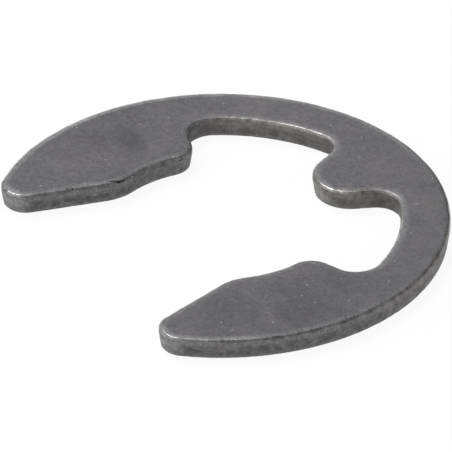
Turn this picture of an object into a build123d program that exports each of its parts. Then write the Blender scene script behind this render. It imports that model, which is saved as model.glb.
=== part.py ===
from build123d import *
import math
import os

# E clip for a shaft groove of 19 mm, blanked in one piece from spring steel strip.
# Millimetres, +Z up. The origin is on the shaft's axis, at the clip's underside.
# The mouth opens towards -Y, and the centre prong stands on the +Y side.

# Plan
seat_diameter = 18.7  # circle that the three prongs reach, before the clip is sprung on
relief_depth = 5.35  # from the seat circle out to the bow's inner edge
bow_width = 4.1  # radial width of the bow
tip_width = 2.48  # blunt end of each leg, before its corners are rounded

# Centre prong
prong_lean = 24.5  # each flank from the clip's axis, degrees
prong_end_radius = 3.1  # full round that touches the groove
prong_root_radius = 1.8  # hollow between a flank and the bow

# Leg prongs
nose_angle = 18.2  # upper end of the seat arc above the cross axis, degrees
nose_slope = 23.2  # rise of the flank behind the nose, degrees
nose_radius = 2.1  # round between that flank and the seat arc
nose_root_radius = 2.1  # hollow between that flank and the bow
shoulder_angle = 26.1  # lower end of the seat arc below the cross axis, degrees
shoulder_radius = 4.65  # round that the shaft is forced past
entry_lean = 15.8  # each edge of the mouth from the clip's axis, degrees
tip_radius = 1.95  # rounded corners of a leg's end

# Blanked section
thickness = 1.8
sheared_band = 0.6  # rolled edge and smooth upright band below the top face
breakout = 0.16  # how far the torn wall below it slopes back at the underside
top_edge_radius = 0.25  # rolled edge round the top face
lower_edge_chamfer = 0.06  # tumbled edge round the underside

# The most that a round may take of the depth of a relief, or of the width of a tip
relief_share = 0.4
tip_share = 0.8

# Two points closer than this are the same corner
same_place = 0.001

seat_radius = seat_diameter / 2
relief_radius = seat_radius + relief_depth
outer_radius = relief_radius + bow_width
torn_band = thickness - sheared_band
beyond = 2 * outer_radius  # takes a cutting shape past the clip on every side


def polar(radius, angle):
    turn = math.radians(angle)
    return Vector(radius * math.cos(turn), radius * math.sin(turn))


def sideways(length, angle):
    return length * math.tan(math.radians(angle))


# The mouth's right edge starts at the shoulder, and its tip is where the leg has narrowed
# to the tip's width: where the same line, moved out by that width, meets the outer rim.
shoulder = polar(seat_radius, -shoulder_angle)
entry = polar(1, entry_lean - 90)


def tip_corner():
    start = shoulder + Vector(tip_width, 0)
    along = start.dot(entry)
    run = math.sqrt(along**2 + outer_radius**2 - start.dot(start)) - along
    return shoulder + entry * run


tip = tip_corner()


def mirrored(right_side):
    # A closed shape from its right half, whose first and last points are off the axis.
    left_side = [(-x, y) for x, y in reversed(right_side)]
    return Polygon(*right_side, *left_side, align=None)


def mouth():
    # The widening gap between the legs, and all that lies beyond the legs' ends.
    half_width_at_axis = shoulder.X + sideways(shoulder.Y, entry_lean)
    return mirrored(
        [
            (beyond, -beyond),
            (beyond, tip.Y),
            (tip.X, tip.Y),
            (half_width_at_axis, 0),
        ]
    )


def relief_window():
    # What lies inside the bow and above the noses' flanks, which would meet in a V.
    nose = polar(seat_radius, nose_angle)
    vertex = nose.Y - sideways(nose.X, nose_slope)
    flank_end = vertex + sideways(beyond, nose_slope)
    sector = Polygon(
        (0, vertex),
        (beyond, flank_end),
        (beyond, flank_end + beyond),
        (-beyond, flank_end + beyond),
        (-beyond, flank_end),
        align=None,
    )
    return Circle(relief_radius) & sector


def centre_prong():
    # A wedge rooted in the bow, its point rounded until it just reaches the seat circle.
    lean = math.radians(prong_lean)
    point = seat_radius + prong_end_radius - prong_end_radius / math.sin(lean)
    root = relief_radius + bow_width / 2
    half_width = sideways(root - point, prong_lean)
    wedge = Polygon((0, point), (half_width, root), (-half_width, root), align=None)
    return fillet(wedge.vertices().sort_by(Axis.Y)[0], prong_end_radius)


def corners_on(outline, radius):
    # Corners on a circle round the shaft's axis, from the mouth to the centre prong.
    on_circle = outline.vertices().filter_by(
        lambda v: abs(math.hypot(v.X, v.Y) - radius) < same_place
    )
    return on_circle.sort_by(Axis.Y)


def round_reliefs(outline):
    limit = relief_share * relief_depth
    nose_roots = corners_on(outline, relief_radius)[:2]
    outline = fillet(nose_roots, min(nose_root_radius, limit))
    prong_roots = corners_on(outline, relief_radius)[-2:]
    return fillet(prong_roots, min(prong_root_radius, limit))


def round_seats(outline):
    shoulders = corners_on(outline, seat_radius)[:2]
    outline = fillet(shoulders, shoulder_radius)
    noses = corners_on(outline, seat_radius)[-2:]
    return fillet(noses, min(nose_radius, relief_share * relief_depth))


def round_tips(outline):
    corners = outline.vertices().filter_by(lambda v: abs(v.Y - tip.Y) < same_place)
    return fillet(corners, min(tip_radius, tip_share * tip_width))


def clip_outline():
    outline = Circle(outer_radius) - Circle(seat_radius) - relief_window() - mouth()
    outline = outline + centre_prong()
    outline = round_reliefs(outline)
    outline = round_seats(outline)
    return round_tips(outline)


def e_clip():
    # The punch shears a smooth band, then the steel tears and leaves a sloping wall.
    clip = extrude(clip_outline(), amount=thickness)
    underside = clip.faces().sort_by(Axis.Z)[0]
    clip = chamfer(underside.edges(), breakout, torn_band, reference=underside)
    underside = clip.faces().sort_by(Axis.Z)[0]
    clip = chamfer(underside.edges(), lower_edge_chamfer)
    top = clip.faces().sort_by(Axis.Z)[-1]
    return fillet(top.edges(), top_edge_radius)


os.makedirs("parts", exist_ok=True)
clip = e_clip()
clip.label = "e_clip"
export_step(clip, "parts/e_clip.step")
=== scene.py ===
import bmesh
import bpy
import math
import numpy as np
from collections import namedtuple
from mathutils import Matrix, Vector, noise


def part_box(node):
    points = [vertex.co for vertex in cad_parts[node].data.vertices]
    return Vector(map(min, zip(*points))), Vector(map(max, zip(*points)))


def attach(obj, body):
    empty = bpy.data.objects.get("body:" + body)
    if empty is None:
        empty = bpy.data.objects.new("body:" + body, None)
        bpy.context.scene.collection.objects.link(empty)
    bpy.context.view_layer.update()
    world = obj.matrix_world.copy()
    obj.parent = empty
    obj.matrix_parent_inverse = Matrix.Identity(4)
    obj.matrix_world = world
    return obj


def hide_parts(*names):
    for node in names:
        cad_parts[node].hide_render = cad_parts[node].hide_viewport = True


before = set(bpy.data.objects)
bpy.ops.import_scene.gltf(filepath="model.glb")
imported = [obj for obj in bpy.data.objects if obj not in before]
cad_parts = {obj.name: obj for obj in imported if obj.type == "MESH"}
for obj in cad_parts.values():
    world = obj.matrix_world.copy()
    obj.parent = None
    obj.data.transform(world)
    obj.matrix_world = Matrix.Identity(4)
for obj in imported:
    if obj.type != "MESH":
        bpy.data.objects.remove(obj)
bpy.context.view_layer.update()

# An E clip, blanked from spring steel strip, lying on a white floor. As in the CAD model, the
# origin is on the shaft's axis at the clip's underside, the mouth opens towards -Y and the
# centre prong stands on the +Y side. Lengths are in millimetres, and those times MM in metres.
MM = 0.001

# ---------------------------------------------------------------- sizes
# Section of the strip. The bands of its wall are those of the CAD model, and its edges are as
# soft as the model's or a little softer.
SHEARED_BAND = 0.6  # from the top face down to where the steel tore
BREAKOUT = 0.16  # how far the torn wall slopes back at the underside
EDGE_RADIUS = 0.31  # rolled edge round the top face
CONVEX_EDGE_RADIUS = 0.25  # the same where the outline turns outwards sharply
CROWN_WIDTH = 1.0  # band inside the wall in which the top face falls towards the edge
CROWN_DROP = 0.035  # how far it has fallen where the rolled edge starts
LOWER_EDGE = 0.1  # tumbled edge round the underside
low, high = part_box("e_clip")
THICKNESS = (high.z - low.z) / MM
TORN_BAND = THICKNESS - SHEARED_BAND

# The top face falls with the cube of the way out. This is its slope at the edge, in radians.
CROWN_END = math.atan(3 * CROWN_DROP / (CROWN_WIDTH - EDGE_RADIUS))

# Mesh of the skin: its columns along the outline, and its rows down the section.
SPACING = 0.11  # between two columns
CROWN_ROWS = 9
EDGE_ROWS = 13
SHEARED_ROWS = (0.2, 0.45, 0.7, 1.0)  # shares of the way down the sheared band
TORN_ROWS = 13
LOWER_ROWS = (30, 60, 90)  # degrees round the lower edge
UNDER_ROWS = (0.3, 0.6)  # inwards from the outline

# Outline: how it is read from the CAD model and smoothed. A reach is a number of columns to
# either side.
SAME_PLACE = 1e-7  # metres
SAME_HEIGHT = 1e-3
CURVE_STEPS = 24  # points worked out for each of the CAD model's
DIRECTION_REACH = 3
BEND_REACH = 6
SMOOTHING_REACH = 12
SHARP_BEND = 0.4  # radians a millimetre, from which a stretch counts as wholly bent

# Unevenness that is cut into the skin: the size of its features, a seed and a strength. On the
# edge the strength is a share of the radius, and on the walls a share of the depth below it.
EDGE_WAVE = (1.6, 11.3, 0.2)
EDGE_RIPPLE = (0.5, 4.1, 0.1)
SHEAR_STREAKS = (0.16, 7.7, 1.0)
SHEAR_WAVE = (0.4, 2.2, 0.6)
SHEAR_DEPTH = 0.006
STREAKS_DRAWN = 9  # how many times longer than wide the streaks are
WAVE_DRAWN = 6  # and the wave
TORN_PITS = (0.55, 3.9, 1.0)
TORN_GRAIN = (0.2, 8.8, 0.5)
TORN_DEPTH = 0.055
TORN_FADE = 0.25  # distance below the sheared band over which the torn wall gets rough
LOWER_SHARE = 0.6  # how rough the lower edge is, as a share of the torn wall

# A mark runs from start to end, with a reach at either, and fades out to that reach.
Mark = namedtuple("Mark", "start end start_reach end_reach strength")

# Nicks in the rolled edge and pits in the walls. The strength is the depth.
NICKS = [
    Mark((-9.10, -5.20, 1.77), (-8.74, -4.49, 1.69), 0.08, 0.16, 0.10),
    Mark((-8.74, -4.49, 1.69), (-8.70, -3.66, 1.71), 0.17, 0.11, 0.12),
    Mark((-9.95, -8.65, 1.75), (-9.72, -8.20, 1.70), 0.12, 0.12, 0.06),
    Mark((-12.72, -13.12, 1.62), (-12.45, -13.10, 1.70), 0.13, 0.10, 0.07),
    Mark((-9.25, 1.70, 1.45), (-9.27, 2.05, 1.55), 0.14, 0.10, 0.08),
    Mark((17.74, -5.70, 1.72), (17.92, -5.15, 1.70), 0.14, 0.12, 0.02),
]
PITS = [
    Mark((-8.84, -2.90, 1.56), (-9.39, 0.45, 1.50), 0.42, 0.46, 0.03),
    Mark((-9.75, -8.90, 0.90), (-9.60, -8.20, 0.70), 0.40, 0.36, 0.03),
    Mark((-9.30, -7.20, 0.80), (-9.20, -6.40, 0.65), 0.34, 0.30, 0.03),
    Mark((14.44, -11.93, 0.85), (15.03, -11.16, 0.73), 0.36, 0.30, 0.03),
]
NICK_DROP = 0.7  # how far a nick also pushes its edge down, as a share of its depth
DARKEST_DEPTH = 0.08  # a mark of this depth or more is as dark as a mark gets

# Stretches of the edge with bright grains of bare steel. The strength is a share.
WORN = [
    Mark((-9.76, -7.04, 1.78), (-9.05, -4.97, 1.76), 0.45, 0.45, 1.0),
    Mark((16.10, -9.20, 1.78), (17.60, -6.10, 1.76), 0.50, 0.50, 0.6),
    Mark((-12.50, -12.90, 1.76), (-11.40, -12.40, 1.76), 0.50, 0.45, 1.0),
]

# Rounded ends, facing the lamps on the left, whose walls get painted light. The strength is a
# share.
PAINTED_LIT_ENDS = [
    Mark((-12.20, -13.10, 0.95), (-11.20, -12.65, 1.00), 1.30, 1.20, 1.0),
    Mark((-0.15, 9.40, 0.80), (0.50, 9.50, 0.80), 1.20, 1.10, 1.0),
    Mark((12.50, -13.20, 1.10), (13.60, -12.80, 1.00), 1.20, 1.20, 1.0),
]

# Painted highlight and shade: stretches where the rolled edge's colour is brighter than
# elsewhere by the share that the strength gives, or duller where that is below 0.
PAINTED_EDGE_HIGHLIGHTS = [
    Mark((1.40, 9.95, 1.76), (2.50, 11.30, 1.76), 0.80, 0.80, 0.75),
    Mark((-2.11, 10.55, 1.76), (-0.21, 9.86, 1.76), 0.80, 0.80, -0.45),
    Mark((2.90, 13.00, 1.76), (4.40, 13.85, 1.76), 0.70, 0.70, 0.60),
    Mark((-8.00, 12.80, 1.76), (-5.50, 13.60, 1.76), 0.80, 0.80, -0.25),
    Mark((15.90, -9.30, 1.76), (18.10, -3.50, 1.76), 0.80, 0.80, -0.20),
]

# Darker zones in the middle of each leg's top face: centre (x, y), reach and strength.
STAINS = [((-14.8, -2.6), 5.2, 0.85), ((14.0, -7.7), 6.4, 0.55), ((14.6, -1.0), 4.4, 0.5)]
STAIN_CORE = 0.1  # share of its reach within which a stain has its full strength
STAIN_WANDER = 3.0  # how far noise moves a stain's limits, to either side
DARKEST_STAIN = 0.85

# Painted sheen: the rim is painted paler on this side of the clip, the side away from the
# camera, given as a direction from its axis.
RIM_SHEEN_SIDE = (-0.85, 0.52, 0.0)

# Camera: its angles round the clip and above the floor in degrees, its distance and its range
# in metres, where it aims, and its focal length and the width of its sensor in millimetres.
AZIMUTH = 58.58
ELEVATION = 32.87
DISTANCE = 1.067
VIEW_RANGE = (0.05, 20)
AIM = Vector((-0.70, 0.91, 0.0)) * MM
LENS = 1036.0354
SENSOR = 36.0

# Studio, in metres. Each lamp has its angle clockwise from straight behind the clip and its
# angle above the floor in degrees, then its width, its depth and the radiance of its surface.
FLOOR_SIZE = 4
FLOOR_GAP = 0.01 * MM  # keeps the clip's underside clear of the floor
FLOOR_COLOUR = (0.9, 0.9, 0.9, 1)
FLOOR_WHITE = 0.92  # how much of the floor, as seen, is plain white and takes no shadow
WHITE = (1, 1, 1, 1)
LAMP_DISTANCE = 0.85
LAMPS = {
    "key": (-22, 56, 0.36, 0.32, 3.5),
    "key_left": (-42, 59, 0.28, 0.28, 10.2),
    "left": (-110, 35, 0.35, 0.35, 1.2),
    "left_high": (-120, 65, 0.45, 0.45, 0.9),
    "far": (-10, 8, 0.55, 0.16, 3.2),
    "overhead": (0, 75, 0.35, 0.35, 0.8),
}

# The sky's level straight to the left, to the right and behind the camera.
SKY_LEFT = 1.3
SKY_RIGHT = 0.45
SKY_BEHIND = 0.38


# ---------------------------------------------------------------- outline
def cad_outline(node, height):
    """The clip's plan outline: the closed loop of the CAD mesh at a height, anticlockwise."""
    mesh = bmesh.new()
    mesh.from_mesh(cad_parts[node].data)
    bmesh.ops.remove_doubles(mesh, verts=mesh.verts, dist=SAME_PLACE)
    at_height = {v for v in mesh.verts if abs(v.co.z / MM - height) < SAME_HEIGHT}
    links = {}
    for edge in mesh.edges:
        a, b = edge.verts
        if a in at_height and b in at_height:
            links.setdefault(a, []).append(b)
            links.setdefault(b, []).append(a)
    start = min(at_height, key=lambda v: (v.co.x, v.co.y))
    loop = [start]
    before, here = None, start
    while True:
        onward = [v for v in links[here] if v is not before]
        before, here = here, onward[0]
        if here is start:
            break
        loop.append(here)
    points = np.array([(v.co.x, v.co.y) for v in loop]) / MM
    mesh.free()
    x, y = points.T
    if np.sum(x * np.roll(y, -1) - np.roll(x, -1) * y) < 0:
        points = points[::-1]
    return points


def smooth_curve(points):
    """Many points on a smooth closed curve through a few (centripetal Catmull-Rom)."""
    p0, p1 = np.roll(points, 1, 0), points
    p2, p3 = np.roll(points, -1, 0), np.roll(points, -2, 0)
    steps = np.linspace(0, 1, CURVE_STEPS, endpoint=False)

    def knot(a, b):
        return np.sqrt(np.linalg.norm(b - a, axis=1))[:, None, None]

    t1 = knot(p0, p1)
    t2 = t1 + knot(p1, p2)
    t3 = t2 + knot(p2, p3)
    t = t1 + (t2 - t1) * steps[None, :, None]
    q0, q1, q2, q3 = (q[:, None, :] for q in (p0, p1, p2, p3))
    a1 = (t1 - t) / t1 * q0 + t / t1 * q1
    a2 = (t2 - t) / (t2 - t1) * q1 + (t - t1) / (t2 - t1) * q2
    a3 = (t3 - t) / (t3 - t2) * q2 + (t - t2) / (t3 - t2) * q3
    b1 = (t2 - t) / t2 * a1 + t / t2 * a2
    b2 = (t3 - t) / (t3 - t1) * a2 + (t - t1) / (t3 - t1) * a3
    return ((t2 - t) / (t2 - t1) * b1 + (t - t1) / (t2 - t1) * b2).reshape(-1, 2)


def evenly_spaced(curve, spacing):
    """Points along a closed curve at about this spacing."""
    closed = np.vstack([curve, curve[:1]])
    lengths = np.linalg.norm(np.diff(closed, axis=0), axis=1)
    run = np.concatenate([[0], np.cumsum(lengths)])
    at = np.linspace(0, run[-1], int(run[-1] / spacing), endpoint=False)
    return np.stack([np.interp(at, run, closed[:, i]) for i in (0, 1)], -1)


def outward(points):
    """The direction out of the steel at each point of the outline."""
    along = np.roll(points, -DIRECTION_REACH, 0) - np.roll(points, DIRECTION_REACH, 0)
    along /= np.linalg.norm(along, axis=1)[:, None]
    return np.stack([along[:, 1], -along[:, 0]], -1)


def bends(normals):
    """How sharply the outline bends, in radians a millimetre: above 0 where it is convex."""
    ahead, behind = np.roll(normals, -BEND_REACH, 0), np.roll(normals, BEND_REACH, 0)
    turning = np.arcsin(behind[:, 0] * ahead[:, 1] - behind[:, 1] * ahead[:, 0])
    bend = turning / (2 * BEND_REACH * SPACING)
    window = np.hanning(2 * SMOOTHING_REACH + 1)
    window /= window.sum()
    looped = np.concatenate([bend[-SMOOTHING_REACH:], bend, bend[:SMOOTHING_REACH]])
    return np.convolve(looped, window, "valid")


# ---------------------------------------------------------------- clip
def grain(x, y, z, size, seed, strength):
    """Smooth noise of about this strength to either side of 0, with features of this size."""
    place = Vector((x / size + seed, y / size - seed, z / size + 2 * seed))
    return strength * noise.noise(place)


def mark_share(point, mark):
    """How far a point lies inside a mark: 1 on its middle line, 0 outside its reach."""
    start = Vector(mark.start)
    along = Vector(mark.end) - start
    share = max(0.0, min(1.0, (point - start).dot(along) / along.length_squared))
    reach = mark.start_reach + (mark.end_reach - mark.start_reach) * share
    gap = (point - start - along * share).length / reach
    return (1 - gap * gap) ** 2 if gap < 1 else 0.0


def total_strength(point, marks):
    """What these marks add up to at a point."""
    return sum(mark_share(point, mark) * mark.strength for mark in marks)


def section_rows():
    """(inset, height, zone) from the flat top, over the rolled edge and down to the underside.

    The crown's insets and the sheared band's heights are shares of the way through the zone,
    and the rolled edge is given for a radius of 1. section_place() turns them into lengths.
    """
    rows = []
    for step in range(CROWN_ROWS):
        rows.append((step / CROWN_ROWS, 0.0, "crown"))
    for step in range(EDGE_ROWS):
        turn = CROWN_END + (math.pi / 2 - CROWN_END) * step / (EDGE_ROWS - 1)
        rows.append((1 - math.sin(turn), math.cos(CROWN_END) - math.cos(turn), "edge"))
    for share in SHEARED_ROWS:
        rows.append((0.0, share, "sheared"))
    for step in range(1, TORN_ROWS + 1):
        share = step / TORN_ROWS
        rows.append((BREAKOUT * share, TORN_BAND + (LOWER_EDGE - TORN_BAND) * share, "torn"))
    for degrees in LOWER_ROWS:
        turn = math.radians(degrees)
        inset = BREAKOUT + LOWER_EDGE * (1 - math.cos(turn))
        rows.append((inset, LOWER_EDGE * (1 - math.sin(turn)), "lower"))
    for inset in UNDER_ROWS:
        rows.append((inset, 0.0, "under"))
    return rows


def section_place(x, y, roll, inset, height, zone):
    """A row's inset from the outline and its height at one column, with its unevenness."""
    edge_top = THICKNESS - CROWN_DROP
    if zone in ("crown", "edge"):
        radius = roll * (1 + grain(x, y, 0, *EDGE_WAVE) + grain(x, y, 0, *EDGE_RIPPLE))
        if zone == "edge":
            return radius * inset, edge_top - radius * height
        start = radius * (1 - math.sin(CROWN_END))
        return start + (CROWN_WIDTH - start) * (1 - inset), THICKNESS - CROWN_DROP * inset**3
    if zone == "sheared":
        # The punch leaves upright streaks, so the noise is drawn out along the height.
        band_top = edge_top - roll
        height = band_top + (TORN_BAND - band_top) * height
        streak = grain(x, y, height / STREAKS_DRAWN, *SHEAR_STREAKS)
        streak += grain(x, y, height / WAVE_DRAWN, *SHEAR_WAVE)
        return inset + SHEAR_DEPTH * abs(streak), height
    if zone in ("torn", "lower"):
        share = min(1.0, (TORN_BAND - height) / TORN_FADE) if zone == "torn" else LOWER_SHARE
        pitting = max(0.0, grain(x, y, height, *TORN_PITS))
        pitting += abs(grain(x, y, height, *TORN_GRAIN))
        return inset + TORN_DEPTH * share * pitting, height
    return inset, height


def dented(x, y, height, out):
    """A point after the nicks and pits have moved it, and how dark they make it."""
    here = Vector((x, y, height))
    marked = 0.0
    for marks, drop in ((NICKS, NICK_DROP), (PITS, 0.0)):
        for mark in marks:
            share = mark_share(here, mark)
            depth = mark.strength * share
            marked = max(marked, share * min(1.0, mark.strength / DARKEST_DEPTH))
            x -= out[0] * depth
            y -= out[1] * depth
            height -= depth * drop
    return x, y, height, marked


def skin_point(point, out, roll, inset, height, zone):
    """One point of the skin in metres, and how much of each kind of mark it has."""
    x, y = point
    inset, height = section_place(x, y, roll, inset, height, zone)
    x -= out[0] * inset
    y -= out[1] * inset
    marked = 0.0
    if zone not in ("lower", "under"):
        x, y, height, marked = dented(x, y, height, out)
    here = Vector((x, y, height))
    # The lit ends and the painted highlights are painted light; the worn stretches are wear.
    worn, lit_end, painted_highlight = (total_strength(here, marks) for marks in (WORN, PAINTED_LIT_ENDS, PAINTED_EDGE_HIGHLIGHTS))
    return (x * MM, y * MM, height * MM), (marked, worn, lit_end, painted_highlight)


def swept_faces(row_count, column_count):
    """Quads from each row to the next, and last the flat faces inside the first and last row."""
    faces = []
    for row in range(row_count - 1):
        for column in range(column_count):
            a = row * column_count + column
            b = row * column_count + (column + 1) % column_count
            faces.append((a, a + column_count, b + column_count, b))
    last = (row_count - 1) * column_count
    faces.append(tuple(range(column_count)))
    faces.append(tuple(range(last + column_count - 1, last - 1, -1)))
    return faces


def swept_clip(outline):
    """The clip's skin: the section swept round the outline, with what its material reads."""
    rows = section_rows()
    normals = outward(outline)
    bend = bends(normals) / SHARP_BEND
    rolls = EDGE_RADIUS + (CONVEX_EDGE_RADIUS - EDGE_RADIUS) * np.clip(bend, 0, 1)
    verts, traces = [], []
    for row in rows:
        for point, out, roll in zip(outline, normals, rolls):
            vert, trace = skin_point(point, out, roll, *row)
            verts.append(vert)
            traces.append(trace)
    mesh = bpy.data.meshes.new("e_clip_skin")
    mesh.from_pydata(verts, [], swept_faces(len(rows), len(outline)))
    values = dict(zip(("marked", "worn", "lit_end", "painted_highlight"), np.array(traces).T))
    # How hollow the outline is, which places the painted shade in the hollows.
    values["hollow"] = np.tile(np.clip(-bend, 0, 1), len(rows))
    for name, value in values.items():
        mesh.attributes.new(name, "FLOAT", "POINT").data.foreach_set("value", value)
    mesh.validate()
    smooth = np.ones(len(mesh.polygons), dtype=bool)
    smooth[-2:] = False  # the flat top and underside
    mesh.polygons.foreach_set("use_smooth", smooth)
    mesh.update()
    piece = bpy.data.objects.new("e_clip_skin", mesh)
    bpy.context.scene.collection.objects.link(piece)
    return piece


# ---------------------------------------------------------------- nodes
class Nodes:
    """Adds nodes to a tree and links them, one call per node."""

    def __init__(self, tree):
        self.tree = tree
        tree.nodes.clear()

    def add(self, kind, settings=None, **inputs):
        """A node whose inputs are given by name, or as i0, i1 by number where names repeat."""
        node = self.tree.nodes.new(kind)
        for key, value in (settings or {}).items():
            setattr(node, key, value)
        for key, value in inputs.items():
            numbered = key[0] == "i" and key[1:].isdigit()
            socket = node.inputs[int(key[1:]) if numbered else key.replace("_", " ")]
            if isinstance(value, bpy.types.NodeSocket):
                self.tree.links.new(value, socket)
            else:
                socket.default_value = value
        return node

    def math(self, operation, a, b=0.0):
        return self.add("ShaderNodeMath", {"operation": operation}, i0=a, i1=b).outputs[0]

    def times(self, a, b):
        return self.math("MULTIPLY", a, b)

    def plus(self, a, b):
        return self.math("ADD", a, b)

    def vector(self, operation, **inputs):
        return self.add("ShaderNodeVectorMath", {"operation": operation}, **inputs)

    def split(self, vector):
        return self.add("ShaderNodeSeparateXYZ", None, i0=vector).outputs

    def spread(self, value, start, end, at_start=0.0, at_end=1.0):
        """Eased from one level to another as the value goes from start to end."""
        settings = {"clamp": True, "interpolation_type": "SMOOTHSTEP"}
        ends = {"i1": start, "i2": end, "i3": at_start, "i4": at_end}
        return self.add("ShaderNodeMapRange", settings, i0=value, **ends).outputs[0]

    def noise(self, place, per_mm, detail, roughness):
        inputs = {"Vector": place, "Scale": per_mm, "Detail": detail, "Roughness": roughness}
        return self.add("ShaderNodeTexNoise", None, **inputs).outputs["Fac"]

    def mix(self, share, a, b, blend="MIX"):
        settings = {"data_type": "RGBA", "blend_type": blend}
        return self.add("ShaderNodeMix", settings, i0=share, i6=a, i7=b).outputs[2]

    def grey(self, level):
        return self.add("ShaderNodeCombineColor", None, i0=level, i1=level, i2=level).outputs[0]

    def attribute(self, name):
        return self.add("ShaderNodeAttribute", {"attribute_name": name}).outputs["Fac"]


# ---------------------------------------------------------------- steel
# Noises: features per millimetre, detail and roughness.
BROAD = (0.32, 3.0, 0.55)
BLOTCH = (1.5, 4.0, 0.65)
MIDDLE = (2.6, 3.0, 0.6)
FINE = (5.0, 3.0, 0.75)
STREAKS = (4.5, 3.0, 0.6)
PITTING = (1.1, 4.0, 0.62)
STAIN_EDGE = (0.35, 4.0, 0.6)
SPECKS_PER_MM = 0.36
STREAK_SCALE = (1, 1, 0.16)  # draws the streaks out along the height

# Colours of the top face.
FLAT_COOL = (0.152, 0.147, 0.160, 1)
FLAT_WARM = (0.156, 0.150, 0.157, 1)
STAINED = (0.106, 0.102, 0.109, 1)
# Painted sheen on the crown, the band where the top face falls towards the edge.
PAINTED_CROWN_SHEEN = (0.200, 0.194, 0.201, 1)
# Painted sheen on the outer rim on the side away from the camera.
PAINTED_RIM_SHEEN = (0.290, 0.283, 0.291, 1)
BOW_TINT = (1.07, 1.07, 1.06, 1)

# Colours of the walls.
SHEARED_DARK = (0.152, 0.145, 0.150, 1)
SHEARED_PALE = (0.197, 0.189, 0.194, 1)
TORN_DARK = (0.094, 0.090, 0.093, 1)
TORN_PALE = (0.144, 0.139, 0.143, 1)
# Painted light at the foot of the walls, where light bounces up from the floor.
PAINTED_FOOT_LIGHT = (0.200, 0.194, 0.198, 1)
# Painted shade on the walls in the hollows of the outline.
PAINTED_HOLLOW_SHADE = (0.07, 0.067, 0.068, 1)
# Painted light on the walls of the rounded ends.
PAINTED_END_LIGHT = (0.235, 0.232, 0.235, 1)

# Colours of the rolled edge and of what marks it.
EDGE_DARK = (0.15, 0.147, 0.146, 1)
EDGE_BARE = (0.27, 0.265, 0.26, 1)
BOW_SIDE_TINT = (1.0, 0.995, 0.95, 1)
BARE_GRAIN = (0.34, 0.335, 0.33, 1)
NICKED = (0.06, 0.057, 0.06, 1)
SPECK = (0.60, 0.60, 0.60, 1)

METALLIC = 0.7
BUMP_STRENGTH = 0.5
BUMP_DISTANCE = 0.012 * MM


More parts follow.
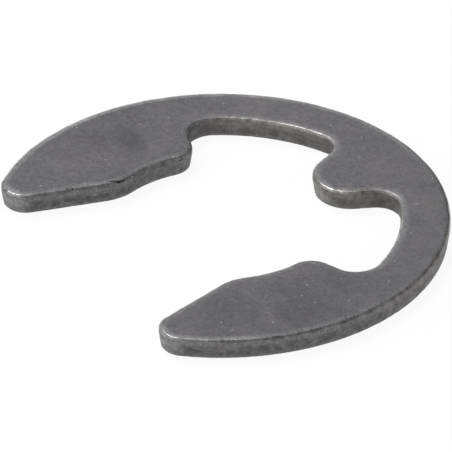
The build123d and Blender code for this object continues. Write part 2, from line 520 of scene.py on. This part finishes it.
class SteelNodes(Nodes):
    """The steel's nodes: what its looks are worked out from, and a method for each layer."""

    def __init__(self, tree):
        super().__init__(tree)
        place = self.add("ShaderNodeTexCoord").outputs["Object"]
        self.mm = self.vector("SCALE", i0=place, Scale=1 / MM).outputs[0]
        _, self.y, self.height = self.split(self.mm)

        # Zones, by how far the surface faces up: 1 on the top face, 0 on an upright wall.
        normal = self.add("ShaderNodeNewGeometry").outputs["Normal"]
        upward = self.math("ABSOLUTE", self.split(normal)[2])
        self.wall = self.spread(upward, 0.55, 0.25)
        off_wall = self.spread(upward, 0.12, 0.45)
        self.edge = self.times(off_wall, self.spread(upward, 0.9995, 0.95))
        self.crown = self.spread(upward, 0.99999, 0.999)
        below_band = self.spread(self.height, TORN_BAND + 0.06, TORN_BAND - 0.1)
        self.torn = self.times(self.wall, below_band)

        self.broad = self.noise(self.mm, *BROAD)
        self.blotch = self.noise(self.mm, *BLOTCH)
        self.middle = self.noise(self.mm, *MIDDLE)
        self.fine = self.noise(self.mm, *FINE)
        self.pitting = self.noise(self.mm, *PITTING)
        drawn_out = self.add("ShaderNodeMapping", None, Vector=self.mm, Scale=STREAK_SCALE)
        self.streaks = self.noise(drawn_out.outputs[0], *STREAKS)

        # Painted shade: where the outline is hollow, less of the paler bare steel shows on the
        # rolled edge, so it is darker there; it is also rougher there.
        self.hollow = self.attribute("hollow")
        self.bare_edge_and_hollow_shade = self.times(self.edge, self.spread(self.hollow, 0.1, 0.9, 0.8, 0.3))

    def stains(self):
        """The share by which the darker zones show, with uneven edges."""
        limits = self.noise(self.mm, *STAIN_EDGE)
        uneven = self.spread(limits, 0.2, 0.8, -STAIN_WANDER, STAIN_WANDER)
        total = 0.0
        for (x, y), reach, strength in STAINS:
            gap = self.vector("DISTANCE", i0=self.mm, i1=(x, y, THICKNESS)).outputs["Value"]
            gap = self.plus(gap, uneven)
            stain = self.spread(gap, reach, STAIN_CORE * reach, 0.0, strength)
            total = self.plus(stain, total)
        return self.math("MINIMUM", total, DARKEST_STAIN)

    def top_face(self):
        """Flat steel with stains, paler on the bow, with painted sheen on the crown and more on
        the far rim.
        """
        colour = self.mix(self.spread(self.broad, 0.35, 0.65), FLAT_COOL, FLAT_WARM)
        colour = self.mix(self.stains(), colour, STAINED)
        colour = self.mix(self.spread(self.y, 2.0, 10.0), colour, BOW_TINT, "MULTIPLY")
        # Painted sheen: the crown is paler, in blotches.
        crown = self.times(self.crown, self.spread(self.blotch, 0.3, 0.7, 0.4, 1.0))
        colour = self.mix(crown, colour, PAINTED_CROWN_SHEEN)
        # Painted sheen: more of it on the crown of the outer rim on the far side.
        to_side = self.vector("DOT_PRODUCT", i0=self.mm, i1=RIM_SHEEN_SIDE).outputs["Value"]
        from_origin = self.vector("LENGTH", i0=self.mm).outputs["Value"]
        rim_sheen = self.times(crown, self.spread(to_side, 4.0, 13.0))
        rim_sheen = self.times(rim_sheen, self.spread(from_origin, 15.5, 17.0))
        return self.mix(rim_sheen, colour, PAINTED_RIM_SHEEN)

    def walls(self, colour):
        """A streaked band over a pitted torn wall, with painted light at its foot, painted shade
        in hollows and painted light on the walls of the rounded ends.
        """
        sheared = self.mix(self.spread(self.streaks, 0.3, 0.7), SHEARED_DARK, SHEARED_PALE)
        torn = self.mix(self.spread(self.pitting, 0.36, 0.62), TORN_DARK, TORN_PALE)
        colour = self.mix(self.wall, colour, sheared)
        colour = self.mix(self.torn, colour, torn)
        # Painted light: the torn wall is paler towards its foot, as bounce light from the floor.
        foot_light = self.times(self.torn, self.spread(self.height, 0.5, 0.1))
        colour = self.mix(self.times(foot_light, 0.6), colour, PAINTED_FOOT_LIGHT)
        # Painted shade: the walls are darker where the outline is hollow.
        hollow = self.times(self.wall, self.times(self.hollow, 0.6))
        colour = self.mix(hollow, colour, PAINTED_HOLLOW_SHADE)
        # Painted light on the walls of the rounded ends.
        return self.mix(self.times(self.wall, self.attribute("lit_end")), colour, PAINTED_END_LIGHT)

    def rolled_edge(self, colour):
        """Blotches of bare steel on the edge, painted highlight and shade along listed
        stretches, and a warmer tint of edge and walls on the bow.
        """
        bare = self.mix(self.spread(self.blotch, 0.35, 0.62), EDGE_DARK, EDGE_BARE)
        # Painted highlight and shade: the bare edge is brighter or duller along listed
        # stretches.
        painted_highlight = self.grey(self.plus(self.attribute("painted_highlight"), 1.0))
        colour = self.mix(self.bare_edge_and_hollow_shade, colour, self.mix(1.0, bare, painted_highlight, "MULTIPLY"))
        sides = self.math("MAXIMUM", self.wall, self.edge)
        bow_sides = self.times(sides, self.spread(self.y, 2.0, 8.0))
        return self.mix(bow_sides, colour, BOW_SIDE_TINT, "MULTIPLY")

    def marks(self, colour):
        """Bright grains where the edge is worn, and dark nicks and pits."""
        grains = self.times(self.spread(self.fine, 0.45, 0.62), 0.7)
        colour = self.mix(self.times(self.attribute("worn"), grains), colour, BARE_GRAIN)
        dark = self.times(self.spread(self.attribute("marked"), 0.05, 0.6), 0.75)
        return self.mix(dark, colour, NICKED)

    def mottling(self, colour):
        """Every colour darker and paler in patches of four sizes."""
        tone = 1.0
        for field, start, share in (
            (self.broad, 0.25, 0.07),
            (self.blotch, 0.25, 0.12),
            (self.middle, 0.25, 0.14),
            (self.fine, 0.2, 0.31),
        ):
            tone = self.plus(tone, self.spread(field, start, 1 - start, -share, share))
        return self.mix(1.0, colour, self.grey(tone), "MULTIPLY")

    def specks(self, colour):
        """Tiny bright specks, each at the centre of a Voronoi cell that chance picks."""
        flat = {"voronoi_dimensions": "2D"}
        cells = self.add("ShaderNodeTexVoronoi", flat, Vector=self.mm, Scale=SPECKS_PER_MM)
        chance = self.add("ShaderNodeSeparateColor", None, i0=cells.outputs["Color"]).outputs[0]
        speck = self.spread(cells.outputs["Distance"], 0.028, 0.014)
        speck = self.times(speck, self.spread(chance, 0.35, 0.5))
        speck = self.times(speck, self.math("SUBTRACT", 1.0, self.wall))
        return self.mix(self.times(speck, 0.9), colour, SPECK)

    def roughness(self):
        """Blotchy, a little rougher on the walls and much smoother on the bare edge."""
        rough = self.spread(self.blotch, 0.25, 0.75, 0.5, 0.4)
        rough = self.plus(rough, self.times(self.wall, 0.06))
        return self.math("SUBTRACT", rough, self.times(self.bare_edge_and_hollow_shade, 0.22))

    def bump(self):
        """Fine grain all over, pits in the torn wall and streaks on every wall."""
        relief = self.plus(self.times(self.fine, 0.6), self.times(self.blotch, 0.5))
        relief = self.plus(relief, self.times(self.torn, self.times(self.pitting, 2.5)))
        relief = self.plus(relief, self.times(self.wall, self.streaks))
        inputs = {"Strength": BUMP_STRENGTH, "Distance": BUMP_DISTANCE, "Height": relief}
        return self.add("ShaderNodeBump", None, **inputs).outputs[0]


def steel():
    """Phosphated spring steel: dark and matt, and bare where its edges are worn."""
    material = bpy.data.materials.new("phosphated_steel")
    material.use_nodes = True
    nodes = SteelNodes(material.node_tree)
    colour = nodes.top_face()
    for layer in (nodes.walls, nodes.rolled_edge, nodes.marks, nodes.mottling, nodes.specks):
        colour = layer(colour)
    looks = {"Base_Color": colour, "Roughness": nodes.roughness(), "Normal": nodes.bump()}
    shader = nodes.add("ShaderNodeBsdfPrincipled", None, Metallic=METALLIC, **looks)
    nodes.add("ShaderNodeOutputMaterial", None, Surface=shader.outputs[0])
    return material


# ---------------------------------------------------------------- studio
TURN = math.radians(AZIMUTH)
RIGHT = Vector((math.cos(TURN), math.sin(TURN), 0))
AWAY = Vector((-math.sin(TURN), math.cos(TURN), 0))
UP = Vector((0, 0, 1))


def sky_direction(clockwise, elevation):
    """From the clip to a place in the sky, by its angle clockwise from straight behind it."""
    around, above = math.radians(clockwise), math.radians(elevation)
    level = AWAY * math.cos(around) + RIGHT * math.sin(around)
    return level * math.cos(above) + UP * math.sin(above)


def floor_material():
    """White floor. The camera and gloss see it near white, with the shadow kept faintly."""
    material = bpy.data.materials.new("studio_floor")
    material.use_nodes = True
    nodes = Nodes(material.node_tree)
    ray = nodes.add("ShaderNodeLightPath")
    seen = nodes.math("MAXIMUM", ray.outputs["Is Camera Ray"], ray.outputs["Is Glossy Ray"])
    seen = nodes.math("MAXIMUM", seen, ray.outputs["Is Transmission Ray"])
    share = nodes.times(seen, FLOOR_WHITE)
    matt = nodes.add("ShaderNodeBsdfDiffuse", None, Color=FLOOR_COLOUR).outputs[0]
    white = nodes.add("ShaderNodeEmission", None, Color=WHITE, Strength=1.0).outputs[0]
    blend = nodes.add("ShaderNodeMixShader", None, i0=share, i1=matt, i2=white)
    nodes.add("ShaderNodeOutputMaterial", None, Surface=blend.outputs[0])
    return material


def build_floor():
    bpy.ops.mesh.primitive_plane_add(size=FLOOR_SIZE, location=(0, 0, low.z - FLOOR_GAP))
    floor = bpy.context.object
    floor.name = "studio_floor_plane"
    floor.data.materials.append(floor_material())


def build_lamp(name, clockwise, elevation, width, depth, radiance):
    """A rectangular lamp that faces the clip."""
    lamp = bpy.data.lights.new(name, "AREA")
    lamp.shape = "RECTANGLE"
    lamp.size, lamp.size_y = width, depth
    lamp.energy = radiance * math.pi * width * depth
    holder = bpy.data.objects.new(name, lamp)
    place = sky_direction(clockwise, elevation) * LAMP_DISTANCE
    holder.location = place
    holder.rotation_euler = (-place).to_track_quat("-Z", "Y").to_euler()
    bpy.context.scene.collection.objects.link(holder)


def build_sky():
    """A white sky, brightest to the left, and black overhead and behind the clip."""
    world = bpy.data.worlds.new("studio")
    bpy.context.scene.world = world
    world.use_nodes = True
    nodes = Nodes(world.node_tree)
    direction = nodes.add("ShaderNodeTexCoord").outputs["Generated"]
    total = 0.0
    for side, level in ((-RIGHT, SKY_LEFT), (RIGHT, SKY_RIGHT), (-AWAY, SKY_BEHIND)):
        facing = nodes.vector("DOT_PRODUCT", i0=direction, i1=side).outputs["Value"]
        share = nodes.math("MAXIMUM", facing, 0.0)
        total = nodes.plus(nodes.times(share, level), total)
    sky = nodes.add("ShaderNodeBackground", None, Color=WHITE, Strength=total)
    nodes.add("ShaderNodeOutputWorld", None, Surface=sky.outputs[0])


def build_camera():
    camera = bpy.data.cameras.new("camera")
    camera.sensor_width = SENSOR
    camera.lens = LENS
    camera.clip_start, camera.clip_end = VIEW_RANGE
    back = sky_direction(180, ELEVATION)
    holder = bpy.data.objects.new("camera", camera)
    holder.location = AIM + back * DISTANCE
    holder.rotation_euler = (-back).to_track_quat("-Z", "Y").to_euler()
    bpy.context.scene.collection.objects.link(holder)
    bpy.context.scene.camera = holder


outline = evenly_spaced(smooth_curve(cad_outline("e_clip", TORN_BAND)), SPACING)
clip = swept_clip(outline)
clip.data.materials.append(steel())
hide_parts("e_clip")
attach(clip, "root")

build_floor()
for name, lamp in LAMPS.items():
    build_lamp(name, *lamp)
build_sky()
build_camera()
bpy.context.scene.view_settings.view_transform = "Standard"
